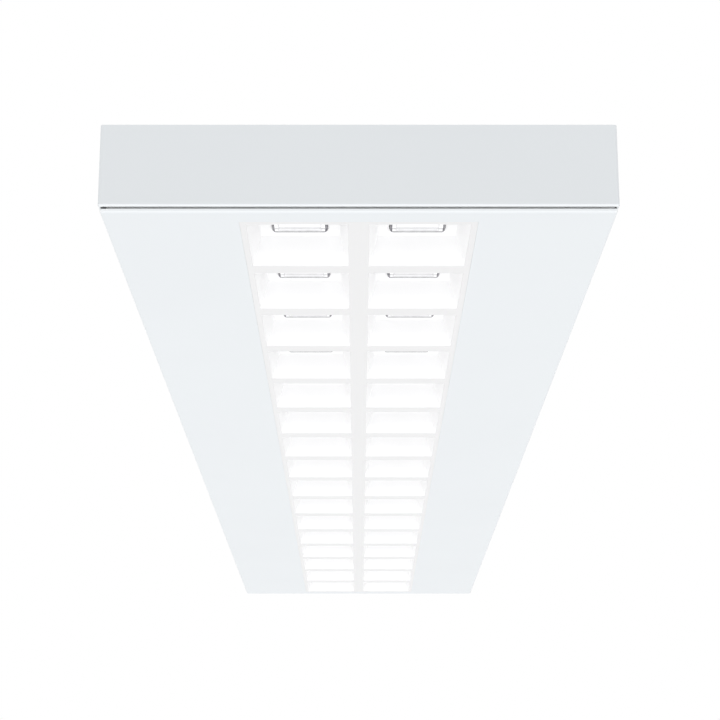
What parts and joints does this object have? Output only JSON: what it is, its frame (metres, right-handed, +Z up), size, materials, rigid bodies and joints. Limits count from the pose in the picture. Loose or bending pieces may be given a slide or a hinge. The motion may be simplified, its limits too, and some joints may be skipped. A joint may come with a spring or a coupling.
{
  "type": "surface mounted office luminaire",
  "caption": "Long flat white ceiling luminaire with a cell louvre in a swing-down cover, a driver and a push-in mains terminal inside, and a slotted back plate.",
  "frame": {"origin": "middle of the face that lies on the ceiling", "axes": "+Z up into the ceiling, +Y along the luminaire away from the end that the picture shows, +X across it"},
  "size_m": [0.3, 1.2, 0.054],
  "materials": {
    "white_paint": "white powder coat, fine satin",
    "louvre_white": "white moulded plastic, satin",
    "lens_clear": "clear polished plastic",
    "galvanised_sheet": "galvanised, dull",
    "zinc_steel": "zinc plated",
    "spring_steel": "bare spring steel",
    "aluminium_sheet": "mill finish",
    "aluminium_rivet": "plain",
    "black_rubber": "soft matt",
    "grey_plastic": "moulded",
    "orange_button": "moulded",
    "contact_metal": "tinned",
    "driver_white": "white coated sheet",
    "green_board": "solder mask",
    "white_board": "solder mask",
    "led_phosphor": "clear silicone",
    "white_connector": "moulded",
    "green_lead": "smooth sheath",
    "brown_lead": "smooth sheath",
    "blue_lead": "smooth sheath",
    "violet_lead": "smooth sheath",
    "grey_lead": "smooth sheath",
    "white_lead": "smooth sheath"
  },
  "bodies": {
    "housing": {"back_plate": "galvanised_sheet", "cable_grommet": "black_rubber", "catch_springs": "spring_steel", "control_lead_1": "violet_lead", "control_lead_2": "grey_lead", "driver_base": "galvanised_sheet", "driver_board": "green_board", "driver_input_terminal": "grey_plastic", "driver_lid": "driver_white", "driver_output_terminal": "grey_plastic", "driver_screws": "zinc_steel", "earth_nut": "zinc_steel", "earth_stud": "zinc_steel", "end_cap_front": "white_paint", "end_cap_rear": "white_paint", "end_cap_screws": "zinc_steel", "hinge_bracket_front": "zinc_steel", "hinge_bracket_middle": "zinc_steel", "hinge_bracket_rear": "zinc_steel", "hinge_pins": "zinc_steel", "led_lead": "white_lead", "mains_lead_earth": "green_lead", "mains_lead_live": "brown_lead", "mains_lead_neutral": "blue_lead", "profile_rivets": "aluminium_rivet", "side_profile_left": "white_paint", "side_profile_right": "white_paint", "side_rivets": "white_paint", "terminal_block": "grey_plastic", "terminal_contacts": "contact_metal"},
    "cover": {"board_links": "white_connector", "board_screws": "zinc_steel", "carrier_nuts": "zinc_steel", "catch_studs": "zinc_steel", "cover_panel": "white_paint", "hinge_leaf_front": "zinc_steel", "hinge_leaf_middle": "zinc_steel", "hinge_leaf_rear": "zinc_steel", "led_board_1": "white_board", "led_board_2": "white_board", "led_board_3": "white_board", "led_board_4": "white_board", "led_carrier": "aluminium_sheet", "led_chips": "led_phosphor", "led_plug": "white_connector", "lens_array_1": "lens_clear", "lens_array_2": "lens_clear", "lens_array_3": "lens_clear", "lens_array_4": "lens_clear", "louvre_1": "louvre_white", "louvre_2": "louvre_white", "louvre_3": "louvre_white", "louvre_4": "louvre_white"},
    "release_button_1": {"terminal_button_1": "orange_button"},
    "release_button_2": {"terminal_button_2": "orange_button"},
    "release_button_3": {"terminal_button_3": "orange_button"},
    "release_button_4": {"terminal_button_4": "orange_button"},
    "release_button_5": {"terminal_button_5": "orange_button"}
  },
  "joints": [
    {"name": "cover_hinge", "type": "hinge", "parent": "housing", "child": "cover", "pos_m": [-0.146, 0, -0.04348], "axis": [0, 1, 0], "range_deg": [0, 90], "deforming": ["led_lead"]},
    {"name": "release_button_1_slide", "type": "slide", "parent": "housing", "child": "release_button_1", "axis": [0, 0, 1], "range_m": [0, 0.0015], "stiffness_N_per_m": 1500, "springref_m": -0.0005},
    {"name": "release_button_2_slide", "type": "slide", "parent": "housing", "child": "release_button_2", "axis": [0, 0, 1], "range_m": [0, 0.0015], "stiffness_N_per_m": 1500, "springref_m": -0.0005},
    {"name": "release_button_3_slide", "type": "slide", "parent": "housing", "child": "release_button_3", "axis": [0, 0, 1], "range_m": [0, 0.0015], "stiffness_N_per_m": 1500, "springref_m": -0.0005},
    {"name": "release_button_4_slide", "type": "slide", "parent": "housing", "child": "release_button_4", "axis": [0, 0, 1], "range_m": [0, 0.0015], "stiffness_N_per_m": 1500, "springref_m": -0.0005},
    {"name": "release_button_5_slide", "type": "slide", "parent": "housing", "child": "release_button_5", "axis": [0, 0, 1], "range_m": [0, 0.0015], "stiffness_N_per_m": 1500, "springref_m": -0.0005}
  ]
}
